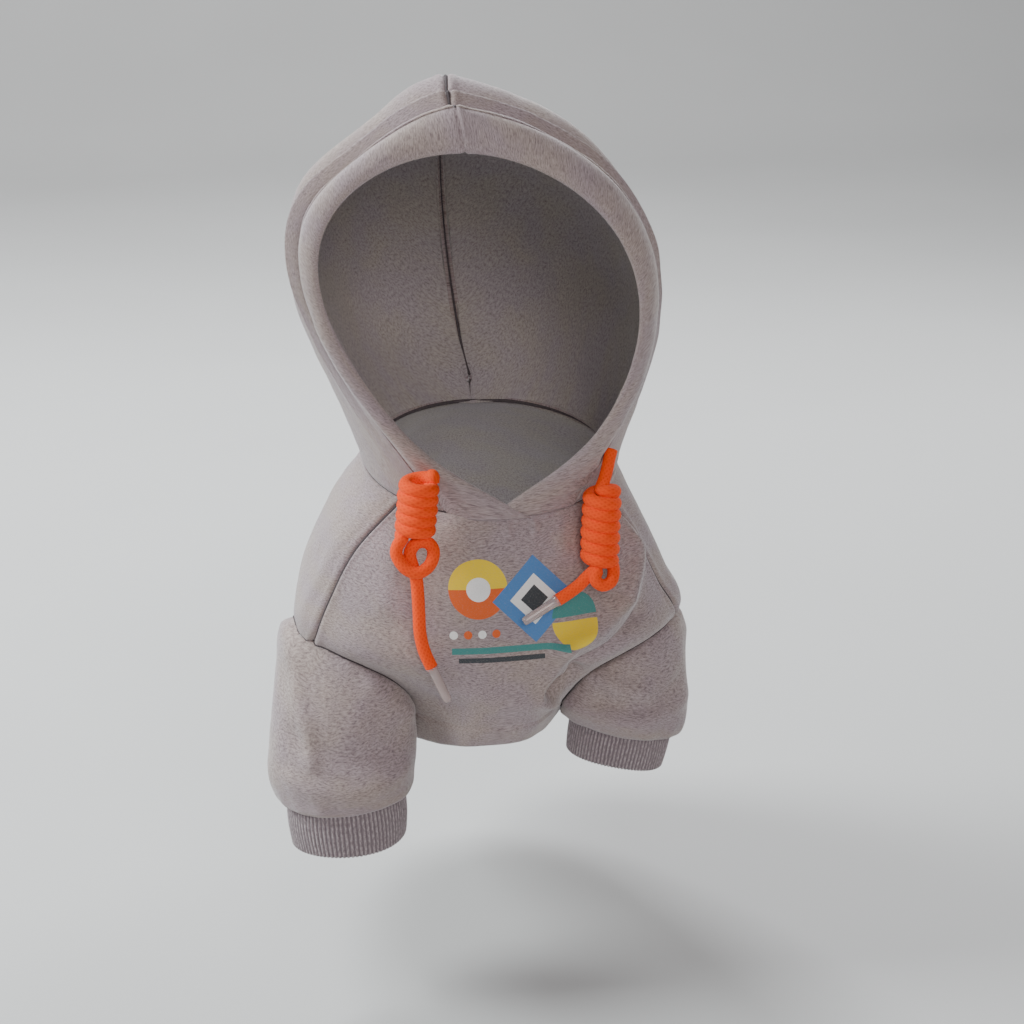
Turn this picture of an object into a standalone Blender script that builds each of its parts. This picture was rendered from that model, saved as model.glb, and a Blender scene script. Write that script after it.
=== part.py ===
"""A pet's hooded sweatshirt in marl fleece, as it sits on the body with its hood up.

Left and right are as seen from the front. The front looks along -Y and +Z is up. The
origin is the middle of the neck opening. Tables are in millimetres.
"""

import math
from collections import namedtuple

import bmesh
import bpy
from mathutils import Matrix, Vector

MM = 0.001
CLEARANCE = 0.3
FLEECE = 2.4
CASING = 3.0
CASING_EDGE = 1.2
RIB_WALL = 2.2
CORD = 5.8
CORD_SIDES = 8

LEFT, RIGHT = -1, 1

# Torso: the sections run from the neck seam to the hem, each a ring through a front, a side
# and a back point. Egg narrows a ring's front, or its back where negative. Keel, 0 to 1, says
# how far the front is a narrow tongue between the sleeves, and tongue is its half width.
Section = namedtuple(
    "Section",
    "name front_y front_z side_y side_z back_y back_z half_width middle_x egg keel tongue seam",
)
TORSO = [
    Section("neck", -57, -9, -6, 5, 42, 20, 60, 0, 0.0, 0.0, 60, 52),
    Section("yoke", -64, -29, -2, -18, 68, 6, 73, -4, -0.17, 0.0, 60, 55),
    Section("chest", -70, -55, 4, -46, 98, -20, 86, -4, -0.15, 0.0, 58, 59),
    Section("shoulder", -73, -79, 6, -69, 122, -58, 93, -2, -0.1, 0.1, 50, 66),
    Section("armpit", -71, -101, 36, -100, 142, -104, 84, -5, 0.0, 0.7, 40, 84),
    Section("hem", -62, -120, 60, -131, 156, -154, 76, -9, 0.0, 1.0, 33, 96),
]
# Folds that run down the torso: where they lie round the ring at neck and hem, in degrees
# from the front, how far they stand out, and how wide they are.
TorsoFold = namedtuple("TorsoFold", "side neck_at hem_at height width")
TORSO_FOLDS = [
    TorsoFold(LEFT, 62, 76, 2.2, 7),
    TorsoFold(RIGHT, 66, 74, 1.8, 6),
    TorsoFold(LEFT, 128, 118, 2.5, 12),
    TorsoFold(RIGHT, 128, 118, 2.5, 12),
]

# Hood: arches from the face edge back to the nape. Each has its feet on the neck ring and
# its peak on the middle seam. Two of the crosswise folds are in the rows themselves.
Arch = namedtuple("Arch", "name foot_angle peak_x peak_y peak_z bulge side_back skew crest flat")
HOOD = [
    Arch("face edge", 5, -22, -62, 157, 67.5, 0, 0.85, 1.0, 0),
    Arch("casing seam", 30, -25, -57, 179.5, 56.5, 9, 0.9, 1.15, 8),
    Arch("valley one", 39, -25, -49, 178, 51, 8, 0.92, 1.2, 9),
    Arch("fold one", 50, -25, -38, 185, 46.5, 6, 0.92, 1.25, 9),
    Arch("valley two", 62, -23, -25, 179, 41, 4, 0.92, 1.25, 9),
    Arch("fold two", 76, -20, -6, 184, 36.5, 2, 0.92, 1.25, 9),
    Arch("crown", 94, -16, 30, 170, 31, 0, 0.95, 1.2, 8),
    Arch("upper back", 112, -11, 62, 143, 27, 0, 1.0, 1.1, 5),
    Arch("back", 129, -7, 81, 112, 22, 0, 1.0, 1.0, 2),
    Arch("lower back", 146, -4, 82, 79, 17, 0, 1.0, 1.0, 0),
    Arch("nape fold", 163, -2, 66, 48, 11, 0, 1.0, 1.0, 0),
    Arch("nape", 180, 0, 48, 28, 0, 0, 1.0, 1.0, 0),
]
HOOD_TURN = -12
HOOD_SWAY = -6.5
# The hood's left shoulder lies flatter than its right, by each row's flat, about here.
HOOD_FLAT_AT = 0.74
HOOD_FLAT_WIDTH = 0.2
CASING_ARCH = 1
CASING_TO_FOLD = 9
HOOD_STEPS = 16
CASING_ROLL = 2.2
NAPE_LEFT_OPEN = 0.04

# Sleeves: rings from inside the torso to the cuff seam, each square to the sleeve.
Ring = namedtuple("Ring", "name x y z half_x half_y roll")
SLEEVES = {
    LEFT: [
        Ring("root", -62, -2, -48, 20, 20, 0),
        Ring("armhole", -72.5, -12, -80, 29, 32, 0),
        Ring("upper", -77, -27, -104, 32.5, 33, 0),
        Ring("blouse", -79, -38, -130, 34.5, 31, -3),
        Ring("lip", -78.5, -41, -142, 33, 30, -4),
        Ring("turn", -78, -42, -145.5, 30.5, 28.5, -4),
    ],
    RIGHT: [
        Ring("root", 56, -2, -46, 20, 20, 0),
        Ring("armhole", 63.5, -10.5, -76.5, 28.5, 32, 2),
        Ring("upper", 63, -21, -96, 31, 32, 5),
        Ring("blouse", 61, -28, -114, 32.5, 29.5, 9),
        Ring("lip", 60.5, -29, -123.5, 30.5, 28.5, 10),
        Ring("turn", 60.5, -29, -127, 27.2, 25.8, 11),
    ],
}
CUFF_HEIGHT = 26
CUFF_TUCK = {LEFT: 3.5, RIGHT: 9}
CUFF_RIBS = 18
CUFF_RIB_DEPTH = 0.5

# Cords: hand-chosen points of what shows, from the casing to the knot and from the knot to
# the aglet.
CORD_TOPS = {
    LEFT: [(-45.6, -52.8, 22), (-47, -56.5, 21.6), (-48, -59.6, 19.8), (-48.1, -60.4, 16)],
    RIGHT: [
        (46.6, -54.9, 19), (45.2, -56.7, 15.5), (43.6, -58.3, 12), (42.4, -59.4, 8.5),
        (41.95, -60, 3.7),
    ],
}
CORD_TAILS = {
    LEFT: [
        (-46.2, -66.7, -33.9), (-46.1, -68.5, -43.3), (-45.9, -71, -57.1), (-43.9, -72, -66.1),
        (-40.9, -73, -73.8),
    ],
    RIGHT: [(30.2, -70.6, -43), (24.5, -71.4, -43.9), (17, -73, -45.8)],
}
Knot = namedtuple("Knot", "top bottom turns radius")
KNOTS = {
    LEFT: Knot((-48.1, -60.5, 15.3), (-46.3, -66.5, -33.1), 8, 8.4),
    RIGHT: Knot((41.9, -60.1, 3.1), (38.1, -70.3, -44.4), 8, 8.4),
}
KNOT_BULGE = 0.16
AGLET_LENGTH = 18
AGLET_RADIUS = 2.3

LOOKS = {
    "marl_fleece": ((0.30, 0.27, 0.27), 0.92),
    "marl_rib": ((0.21, 0.195, 0.205), 0.92),
    "orange_cord": ((0.83, 0.10, 0.02), 0.75),
    "clear_plastic": ((0.62, 0.50, 0.48), 0.18),
}


def material(name):
    """The named Principled material, made the first time it is asked for."""
    if name in bpy.data.materials:
        return bpy.data.materials[name]
    (colour, roughness), made = LOOKS[name], bpy.data.materials.new(name)
    made.use_nodes = True
    shader = made.node_tree.nodes["Principled BSDF"]
    shader.inputs["Base Color"].default_value = (*colour, 1)
    shader.inputs["Roughness"].default_value = roughness
    shader.inputs["Metallic"].default_value = 0.0
    made.diffuse_color = (*colour, 1)
    return made


def blend(rows, place, columns):
    """The named columns at a place between rows, on a smooth curve through the rows."""
    low = min(max(int(math.floor(place)), 0), len(rows) - 2)
    part = place - low
    before, after = rows[max(low - 1, 0)], rows[min(low + 2, len(rows) - 1)]
    here, there = rows[low], rows[low + 1]
    values = []
    for column in columns:
        a, b, c, d = (getattr(row, column) for row in (before, here, there, after))
        values.append(
            b
            + 0.5 * part * (c - a + part * (2 * a - 5 * b + 4 * c - d + part * (3 * (b - c) + d - a)))
        )
    return values


def torso_point(angle, place, fold=True):
    """A point of the torso's outside, at degrees from the front and a place down its rows."""
    front_y, front_z, side_y, side_z, back_y, back_z, width, middle, egg, keel, tongue = blend(
        TORSO, place, Section._fields[1:-1]
    )
    turn = math.radians(angle)
    sine, cosine = math.sin(turn), math.cos(turn)
    down = place / (len(TORSO) - 1)
    stand = 0.0
    for row in TORSO_FOLDS if fold else ():
        centre = row.side * (row.neck_at + (row.hem_at - row.neck_at) * down)
        away = (angle - centre + 180) % 360 - 180
        stand += row.height * math.exp(-((away / row.width) ** 2)) * math.sin(math.pi * down)
    keel, reach = keel * math.sqrt(max(cosine, 0.0)), abs(sine)
    half = tongue * reach ** (1 - keel / 2) + (width - tongue) * reach ** (1 + 7 * keel)
    x = math.copysign(half + stand * reach, sine) * (1 - egg * cosine)
    y = side_y + (front_y - back_y) / 2 * cosine + ((front_y + back_y) / 2 - side_y) * cosine**2
    z = side_z + (front_z - back_z) / 2 * cosine + ((front_z + back_z) / 2 - side_z) * cosine**2
    return Vector((middle + x, y - stand * 0.4 * cosine, z))


def hood_point(across, place):
    """A point of the hood: across runs -1 (left foot), 0 (peak), 1 (right foot)."""
    foot_angle, peak_x, peak_y, peak_z, bulge, side_back, skew, crest, flat = blend(
        HOOD, place, Arch._fields[1:]
    )
    side = -1 if across < 0 else 1
    rise = min(max(1 - abs(across), 0.0), 1.0)
    up, out = math.sin(rise * math.pi / 2), math.cos(rise * math.pi / 2)
    hump = max(math.sin(math.pi * rise**skew), 0.0) ** crest
    foot = torso_point(side * foot_angle, 0, fold=False)
    base = Vector((foot.x * out, foot.y * (1 - up), foot.z * (1 - up) + CLEARANCE))
    swell = Vector((side * bulge + HOOD_SWAY * bulge / HOOD[0].bulge, side_back, 0)) * hump
    lift = Vector((peak_x * up, peak_y, peak_z)) * up
    flat *= math.exp(-(((rise - HOOD_FLAT_AT) / HOOD_FLAT_WIDTH) ** 2)) * (1 - rise**12) ** 2
    if side < 0:
        lift += Vector((1, 0, -1)).normalized() * flat
    return base + lift + Matrix.Rotation(math.radians(HOOD_TURN), 3, "Z") @ swell


def sleeve_point(side, angle, place):
    """A point of a sleeve's outside, at degrees round it and a place down its rings."""
    rows = SLEEVES[side]
    x, y, z, half_x, half_y, roll = blend(rows, place, Ring._fields[1:])
    turn = math.radians(angle)
    local = Vector((half_x * math.sin(turn), -half_y * math.cos(turn), 0))
    return Vector((x, y, z)) + Matrix.Rotation(math.radians(roll), 3, "Y") @ local


def normal_at(surface, u, v, outward):
    step = 1e-3
    across = surface(u + step, v) - surface(u - step, v)
    along = surface(u, v + step) - surface(u, v - step)
    return across.cross(along).normalized() * outward


def spread(start, end, count):
    return [start + (end - start) * i / count for i in range(count + 1)]


def lay_grid(surface, us, vs, outward, out=0.0, inside=0.0):
    """The outer and inner points of a wall, a row for each v."""
    outer, inner = [], []
    for v in vs:
        normals = [normal_at(surface, u, v, outward) for u in us]
        points = [surface(u, v) for u in us]
        outer.append([p + n * out for p, n in zip(points, normals)])
        inner.append([p - n * inside for p, n in zip(points, normals)])
    return outer, inner


def skin(mesh, rows, closed):
    """Faces between rows of points; a closed row joins its last point to its first."""
    verts = [[mesh.verts.new(p * MM) for p in row] for row in rows]
    for low, high in zip(verts, verts[1:]):
        pairs = list(zip(low, low[1:] + low[:1], high, high[1:] + high[:1]))
        for a, b, c, d in pairs if closed else pairs[:-1]:
            mesh.faces.new((a, b, d, c))
    return verts


def finish(name, mesh, look, collection, smooth=True):
    bmesh.ops.recalc_face_normals(mesh, faces=mesh.faces)
    data = bpy.data.meshes.new(name)
    mesh.to_mesh(data)
    mesh.free()
    for face in data.polygons:
        face.use_smooth = smooth
    made = bpy.data.objects.new(name, data)
    data.materials.append(material(look))
    collection.objects.link(made)
    return made


def wall(name, surface, us, vs, outward, thickness, look, collection, closed=False):
    """A cloth wall: the surface outside, the thickness inside it, and rims round its edges."""
    mesh = bmesh.new()
    outer, inner = lay_grid(surface, us, vs, outward, 0.0, thickness)
    outside, within = skin(mesh, outer, closed), skin(mesh, inner, closed)
    rims = [(outside[0], within[0]), (outside[-1], within[-1])]
    for edge, back in rims:
        pairs = list(zip(edge, edge[1:] + edge[:1], back, back[1:] + back[:1]))
        for a, b, c, d in pairs if closed else pairs[:-1]:
            mesh.faces.new((a, b, d, c))
    for column in () if closed else (0, -1):
        edge, back = [row[column] for row in outside], [row[column] for row in within]
        for a, b, c, d in zip(edge, edge[1:], back, back[1:]):
            mesh.faces.new((a, b, d, c))
    return finish(name, mesh, look, collection)


def plug(name, surface, us, vs, outward, grow, collection):
    """A closed solid inside a ringed surface, grown or shrunk: a cutter."""
    mesh = bmesh.new()
    rows, _ = lay_grid(surface, us, vs, outward, grow)
    verts = skin(mesh, rows, closed=True)
    mesh.faces.new(verts[0])
    mesh.faces.new(verts[-1])
    made = finish(name, mesh, "marl_fleece", collection)
    made.hide_render, made.display_type = True, "WIRE"
    return made


def cut(piece, cutter):
    modifier = piece.modifiers.new(cutter.name, "BOOLEAN")
    modifier.operation, modifier.solver, modifier.object = "DIFFERENCE", "EXACT", cutter


def seam_angle(place):
    """Where the shoulder and side seam lies round the torso."""
    return blend(TORSO, place, ["seam"])[0]


def chest_surface(across, place):
    """Across runs -1 to 1 from the left seam to the right."""
    gap = CLEARANCE / 2 * math.copysign(min(abs(across), 1.0), across)
    here = torso_point(across * seam_angle(place), place)
    edge = torso_point(across * seam_angle(place) + across, place) - here
    return here - edge.normalized() * abs(gap) * (abs(across) > 0.99)


def back_surface(across, place):
    """Across runs -1 to 1 from the right seam round the back to the left."""
    half = 180 - seam_angle(place)
    here = torso_point(180 - across * half, place)
    edge = torso_point(180 - across * half - across, place) - here
    return here - edge.normalized() * CLEARANCE / 2 * (abs(across) > 0.99)


def ring_surface(u, place):
    """The whole torso: -1 to 1 over the chest panel, then 1 to 3 over the back panel."""
    seam = seam_angle(place)
    return torso_point(u * seam if u <= 1 else seam + (u - 1) * (180 - seam), place)


def hood_surface(side):
    """One hood panel's surface, held half a clearance off the middle seam and the casing."""

    def surface(rise, place):
        point = hood_point(side * (1 - rise), place)
        if rise > 0.99:
            point = point + Vector((side * CLEARANCE / 2, 0, 0))
        return point

    return surface


def make_torso(parts, cutters):
    places = spread(0, len(TORSO) - 1, 18)
    us = spread(-1, 1, 24)
    chest = wall("chest_panel", chest_surface, us, places, -1, FLEECE, "marl_fleece", parts)
    back = wall("back_panel", back_surface, us, places, 1, FLEECE, "marl_fleece", parts)
    ring = us + [u + 2 for u in us[1:-1]]
    body = plug("torso_cutter", ring_surface, ring, places, -1, 2 * CLEARANCE, cutters)
    for side, word in ((LEFT, "left"), (RIGHT, "right")):
        rings = spread(0, len(SLEEVES[side]) - 1, 10)
        around = spread(-180, 180, 24)[:-1]

        def surface(angle, place, side=side):
            return sleeve_point(side, angle, place)

        sleeve = wall(
            f"sleeve_{word}", surface, around, rings, -1, FLEECE, "marl_fleece", parts, closed=True
        )
        cut(sleeve, body)
        bore = plug(f"bore_{word}", surface, around, rings, -1, -FLEECE, cutters)
        for panel in (chest, back):
            cut(panel, bore)
        make_cuff(side, word, parts)


def make_cuff(side, word, parts):
    """A ribbed band that hangs from the sleeve's turned end, tucked a little inside it."""
    last = SLEEVES[side][-1]
    tilt = Matrix.Rotation(math.radians(last.roll), 3, "Y")
    inset = FLEECE + 2 * CLEARANCE + CUFF_RIB_DEPTH / 2

    def surface(angle, drop):
        turn = math.radians(angle)
        rib = CUFF_RIB_DEPTH * math.cos(turn * CUFF_RIBS) / 2
        waist = 1.0 * math.sin(math.pi * min(drop / CUFF_HEIGHT, 1))
        half_x, half_y = last.half_x - inset + rib + waist, last.half_y - inset + rib + waist
        local = Vector((half_x * math.sin(turn), -half_y * math.cos(turn), CUFF_TUCK[side] - drop))
        return Vector((last.x, last.y, last.z)) + tilt @ local

    around = spread(-180, 180, CUFF_RIBS * 2)[:-1]
    drops = spread(0, CUFF_HEIGHT, 3)
    wall(f"cuff_{word}", surface, around, drops, -1, RIB_WALL, "marl_rib", parts, closed=True)


def make_hood(parts):
    """Two panels with a middle seam, and the turned casing round the face edge."""
    last = len(HOOD) - 1 - NAPE_LEFT_OPEN
    gap = 2 * CLEARANCE / CASING_TO_FOLD
    places = spread(CASING_ARCH + gap, last, 18)
    for side, word in ((LEFT, "left"), (RIGHT, "right")):
        wall(
            f"hood_{word}", hood_surface(side), spread(0, 1, HOOD_STEPS), places, -side, FLEECE,
            "marl_fleece", parts,
        )
    mesh = bmesh.new()
    us, vs = spread(-1, 1, 2 * HOOD_STEPS), spread(0, CASING_ARCH, 4)
    rolled = []
    for v in vs:
        swell = CASING_ROLL * math.sin(math.pi * v)
        inward = CASING + (CASING_EDGE - CASING) * v
        normals = [normal_at(hood_point, u, v, 1) for u in us]
        points = [hood_point(u, v) for u in us]
        rolled.append(
            [(p + n * swell, p - n * (inward + swell / 2)) for p, n in zip(points, normals)]
        )
    loops = [
        [row[i][0] for row in rolled] + [row[i][1] for row in reversed(rolled)]
        for i in range(len(us))
    ]
    verts = skin(mesh, loops, closed=True)
    mesh.faces.new(verts[0])
    mesh.faces.new(verts[-1])
    finish("hood_brim", mesh, "marl_fleece", parts)


def tube(name, points, width, look, collection):
    """A cord: a polyline with a round bevel and filled caps, made a mesh."""
    data = bpy.data.curves.new(name, "CURVE")
    data.dimensions = "3D"
    data.bevel_depth, data.bevel_resolution = width / 2 * MM, CORD_SIDES // 4
    data.use_fill_caps = True
    line = data.splines.new("POLY")
    line.points.add(len(points) - 1)
    for point, place in zip(line.points, points):
        point.co = (*(Vector(place) * MM), 1)
    guide = bpy.data.objects.new(f"{name}_line", data)
    bpy.context.scene.collection.objects.link(guide)
    bpy.context.view_layer.update()
    mesh = bmesh.new()
    mesh.from_mesh(bpy.data.meshes.new_from_object(guide.evaluated_get(
        bpy.context.evaluated_depsgraph_get()
    )))
    bpy.data.objects.remove(guide)
    bmesh.ops.remove_doubles(mesh, verts=mesh.verts, dist=1e-6)
    return finish(name, mesh, look, collection)


def turned(name, start, end, profile, look, collection, sides=12):
    """A turned solid from start to end; the profile gives (share of the length, radius)."""
    start, end = Vector(start), Vector(end)
    axis = (end - start).to_track_quat("Z", "Y").to_matrix()
    length = (end - start).length
    mesh = bmesh.new()
    rows = []
    for share, radius in profile:
        turns = [2 * math.pi * i / sides for i in range(sides)]
        rows.append([
            start + axis @ Vector((radius * math.cos(t), radius * math.sin(t), share * length))
            for t in turns
        ])
    verts = skin(mesh, rows, closed=True)
    mesh.faces.new(verts[0])
    mesh.faces.new(verts[-1])
    return finish(name, mesh, look, collection)


def make_cords(parts):
    for side, word in ((LEFT, "left"), (RIGHT, "right")):
        knot = KNOTS[side]
        tube(f"drawcord_{word}", CORD_TOPS[side], CORD, "orange_cord", parts)
        steps = knot.turns * 2
        barrel = [
            (i / steps, knot.radius * (1 - KNOT_BULGE * (0.5 + 0.5 * math.cos(math.pi * i))))
            for i in range(steps + 1)
        ]
        turned(f"knot_{word}", knot.top, knot.bottom, barrel, "orange_cord", parts)
        tail = CORD_TAILS[side]
        tube(f"cord_tail_{word}", tail, CORD, "orange_cord", parts)
        end = Vector(tail[-1])
        away = (end - Vector(tail[-2])).normalized()
        near = end + away * CLEARANCE
        profile = [(0, AGLET_RADIUS + 0.3), (0.08, AGLET_RADIUS), (1, AGLET_RADIUS - 0.2)]
        turned(
            f"aglet_{word}", near, near + away * AGLET_LENGTH, profile, "clear_plastic", parts
        )


def main():
    for old in list(bpy.data.objects):
        bpy.data.objects.remove(old)
    parts = bpy.data.collections.new("hoodie")
    cutters = bpy.data.collections.new("cutters")
    cutters.hide_render = True
    for made in (parts, cutters):
        bpy.context.scene.collection.children.link(made)
    make_torso(parts, cutters)
    make_hood(parts)
    make_cords(parts)


main()
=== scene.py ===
"""Looks of a pet's hooded sweatshirt in grey marl fleece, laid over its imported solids.

Left and right are as seen from the front. Sizes are in millimetres unless MM is beside them.
"""

import math
from collections import namedtuple

import bmesh
import bpy
from mathutils import Matrix, Vector, noise
from mathutils.bvhtree import BVHTree


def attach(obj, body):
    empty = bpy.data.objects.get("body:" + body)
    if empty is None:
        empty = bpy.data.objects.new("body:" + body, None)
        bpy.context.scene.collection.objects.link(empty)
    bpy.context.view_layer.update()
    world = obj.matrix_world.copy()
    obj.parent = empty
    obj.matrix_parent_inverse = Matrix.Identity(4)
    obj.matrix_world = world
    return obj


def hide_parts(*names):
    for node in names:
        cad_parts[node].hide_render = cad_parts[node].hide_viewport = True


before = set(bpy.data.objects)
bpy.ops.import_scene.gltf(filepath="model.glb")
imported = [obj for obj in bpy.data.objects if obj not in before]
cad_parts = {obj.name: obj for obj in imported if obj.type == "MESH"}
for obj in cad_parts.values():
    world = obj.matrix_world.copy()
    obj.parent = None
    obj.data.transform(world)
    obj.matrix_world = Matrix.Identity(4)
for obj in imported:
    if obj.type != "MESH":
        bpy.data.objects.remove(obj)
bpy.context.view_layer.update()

MM = 0.001
LEFT, RIGHT = -1, 1
WORDS = {LEFT: "left", RIGHT: "right"}

# Camera: a metre from the collar, a little to its left and above it, looking down on the hood
# as the photograph does.
azimuth, elevation = math.radians(-12), math.radians(18)
right = Vector((math.cos(azimuth), math.sin(azimuth), 0))
back = Vector((
    math.sin(azimuth) * math.cos(elevation), -math.cos(azimuth) * math.cos(elevation),
    math.sin(elevation),
))
lens = bpy.data.cameras.new("camera")
lens.lens, lens.sensor_width, lens.clip_start = 73.24, 36, 0.01
camera = bpy.data.objects.new("camera", lens)
camera.location = (-0.1880, -0.9399, 0.2862)
camera.rotation_euler = Matrix((right, back.cross(right), back)).transposed().to_euler()
bpy.context.scene.collection.objects.link(camera)
bpy.context.scene.camera = camera


# Drawcord ends: each is 6 mm knitted cord that leaves the hood's casing, is wound round itself
# into a barrel and hangs on as a short tail. It isn't fixed; the winding holds itself.
CORD = 5.8
Coil = namedtuple("Coil", "top bottom turns radius start enter")
COILS = {
    LEFT: Coil((-43.3, -60.5, 11.9), (-46.5, -64.5, -12.8), 5.55, 6.2, 90, 1.0),
    RIGHT: Coil((41.3, -60.0, 2.6), (38.8, -66.0, -30.4), 6.4, 5.9, -40, 0.25),
}
CORD_STARTS = {
    LEFT: [(-36.6, -52.6, 10.6), (-36.9, -57, 12.4)],
    RIGHT: [(46.6, -54.9, 19), (45.2, -56.7, 15.5), (43.9, -58.6, 12), (42.6, -59.6, 8)],
}
CORD_ENDS = {
    LEFT: [
        (-55.2, -68, -16.5), (-55.4, -69.2, -20.5), (-51.8, -71.4, -25.8), (-46.2, -72.6, -27.6),
        (-40.8, -71.4, -24.4), (-38.9, -69.2, -19), (-41.3, -67.2, -15.4), (-46.2, -66.6, -15.6),
        (-49.4, -67.4, -20), (-48.3, -68.6, -26), (-46.8, -69.2, -32), (-46.3, -69.8, -40),
        (-46.1, -70.5, -48), (-45.9, -71.6, -57.1), (-44.2, -72.4, -65.6), (-40.9, -73, -73.8),
    ],
    RIGHT: [
        (44.4, -70.2, -34), (42.6, -73.2, -38), (38.2, -74.4, -39.4), (34.8, -73.4, -36.4),
        (36.4, -71.4, -33), (35, -70, -33.8), (31.5, -70.4, -36.6), (28.2, -71.2, -39.4),
        (23, -72.2, -42.6), (17, -73, -45.8),
    ],
}


class Look:
    """A socket in a material. Sums written on it become Math nodes."""

    def __init__(self, tree, socket=None):
        self.tree, self.socket = tree, socket

    def add(self, kind, settings=None, sockets=None, out=0):
        """A node of this kind, its settings made first, then its sockets set or linked."""
        made = self.tree.nodes.new(kind)
        for name, value in (settings or {}).items():
            if name == "stops":
                ramp = made.color_ramp.elements
                while len(ramp) < len(value):
                    ramp.new(1.0)
                for stop, (place, colour) in zip(ramp, value):
                    stop.position, stop.color = place, (*colour, 1)
            else:
                setattr(made, name, value)
        for name, value in (sockets or {}).items():
            if isinstance(value, Look):
                self.tree.links.new(value.socket, made.inputs[name])
            else:
                made.inputs[name].default_value = value
        return Look(self.tree, made.outputs[out] if made.outputs else None)

    def maths(self, operation, *values):
        return self.add("ShaderNodeMath", {"operation": operation}, dict(enumerate(values)))

    def mix(self, share, low, high, way="MIX"):
        """A colour from low to high as share goes from 0 to 1."""
        low, high = [c if isinstance(c, Look) else (*c, 1) for c in (low, high)]
        settings = {"data_type": "RGBA", "blend_type": way, "clamp_factor": True}
        return self.add("ShaderNodeMix", settings, {0: share, 6: low, 7: high}, 2)

    def __add__(self, other):
        return self.maths("ADD", self, other)

    def __sub__(self, other):
        return self.maths("SUBTRACT", self, other)

    def __rsub__(self, other):
        return self.maths("SUBTRACT", other, self)

    def __mul__(self, other):
        return self.maths("MULTIPLY", self, other)

    def __lt__(self, other):
        return self.maths("LESS_THAN", self, other)

    def __gt__(self, other):
        return self.maths("GREATER_THAN", self, other)

    __radd__, __rmul__ = __add__, __mul__


def new_look(name):
    """An empty material and the Look that adds nodes to it."""
    made = bpy.data.materials.new(name)
    made.use_nodes = True
    made.node_tree.nodes.clear()
    return made, Look(made.node_tree)


def wear(look, shader):
    """Joins a shader to the material's output."""
    look.add("ShaderNodeOutputMaterial", {}, {"Surface": shader})


def lay(surface, columns, rows, swap=False):
    """An even grid, each corner put where surface(u, v) says, with u and v from 0 to 1.

    The UV map runs in metres along the cloth; swap turns it a quarter.
    """
    mesh = bmesh.new()
    uv = mesh.loops.layers.uv.new("UVMap")
    across, along = mesh.verts.layers.float.new("across"), mesh.verts.layers.float.new("along")
    bmesh.ops.create_grid(mesh, x_segments=columns, y_segments=rows, size=0.5)
    steps = [i / 32 for i in range(33)]

    def run(line):
        return sum((b - a).length for a, b in zip(line, line[1:])) * MM

    deep = run([surface(0.5, s) for s in steps])
    wide = [run([surface(s, v) for s in steps]) for v in steps]
    for vert in mesh.verts:
        vert[across], vert[along] = vert.co.x + 0.5, vert.co.y + 0.5
    for face in mesh.faces:
        for loop in face.loops:
            u, v = loop.vert[across] - 0.5, loop.vert[along]
            low = min(int(v * 32), 31)
            u *= wide[low] + (wide[low + 1] - wide[low]) * (v * 32 - low)
            loop[uv].uv = (v * deep, u + 0.4) if swap else (u + 0.4, v * deep)
    for vert in mesh.verts:
        vert.co = surface(vert[across], vert[along]) * MM
    return mesh


def face_out(mesh):
    """Turns an open or closed shell so that its faces look away from its middle."""
    mesh.normal_update()
    middle = sum((v.co for v in mesh.verts), Vector()) / len(mesh.verts)
    if sum(f.normal.dot(f.calc_center_median() - middle) * f.calc_area() for f in mesh.faces) < 0:
        bmesh.ops.reverse_faces(mesh, faces=mesh.faces)
    mesh.normal_update()


def dress(name, mesh, looks, slot, *nodes):
    """The finished piece: it rides on the body and stands for its CAD nodes."""
    data = bpy.data.meshes.new(name)
    mesh.to_mesh(data)
    mesh.free()
    data.shade_smooth()
    for look in looks:
        data.materials.append(look)
    made = bpy.data.objects.new(name, data)
    bpy.context.scene.collection.objects.link(made)
    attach(made, "root")
    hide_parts(*nodes)
    return made


def even_line(points, step):
    """Points about a step apart on a smooth curve through the given ones."""
    fine = []
    for i in range(len(points) - 1):
        a, b, c, d = (Vector(points[min(max(i + k, 0), len(points) - 1)]) for k in (-1, 0, 1, 2))
        for j in range(16):
            t = j / 16
            fine.append(b + 0.5 * t * (c - a + t * (2 * a - 5 * b + 4 * c - d + t * (3 * (b - c) + d - a))))
    fine.append(Vector(points[-1]))
    reach = [0.0]
    for a, b in zip(fine, fine[1:]):
        reach.append(reach[-1] + (b - a).length)
    count, line, at = round(reach[-1] / step), [], 0
    for i in range(count + 1):
        want = reach[-1] * i / count
        while at < len(fine) - 2 and reach[at + 1] < want:
            at += 1
        share = (want - reach[at]) / max(reach[at + 1] - reach[at], 1e-9)
        line.append(fine[at].lerp(fine[at + 1], min(share, 1)))
    return line


def tube(line, radius, sides):
    """A round tube along a line, its sides turning as little as they can."""
    frames, normal = [], None
    for i, point in enumerate(line):
        ahead = (line[min(i + 1, len(line) - 1)] - line[max(i - 1, 0)]).normalized()
        normal = ahead.orthogonal() if normal is None else normal - ahead * normal.dot(ahead)
        normal.normalize()
        frames.append((point, normal.copy(), ahead.cross(normal)))

    def surface(u, v):
        point, one, other = frames[round(v * (len(frames) - 1))]
        turn, out = 2 * math.pi * u, radius(v)
        return point + (one * math.cos(turn) + other * math.sin(turn)) * out

    mesh = lay(surface, sides, len(frames) - 1)
    bmesh.ops.remove_doubles(mesh, verts=mesh.verts, dist=1e-6)
    bmesh.ops.holes_fill(mesh, edges=mesh.edges, sides=sides)
    bmesh.ops.recalc_face_normals(mesh, faces=mesh.faces)
    return mesh


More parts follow.
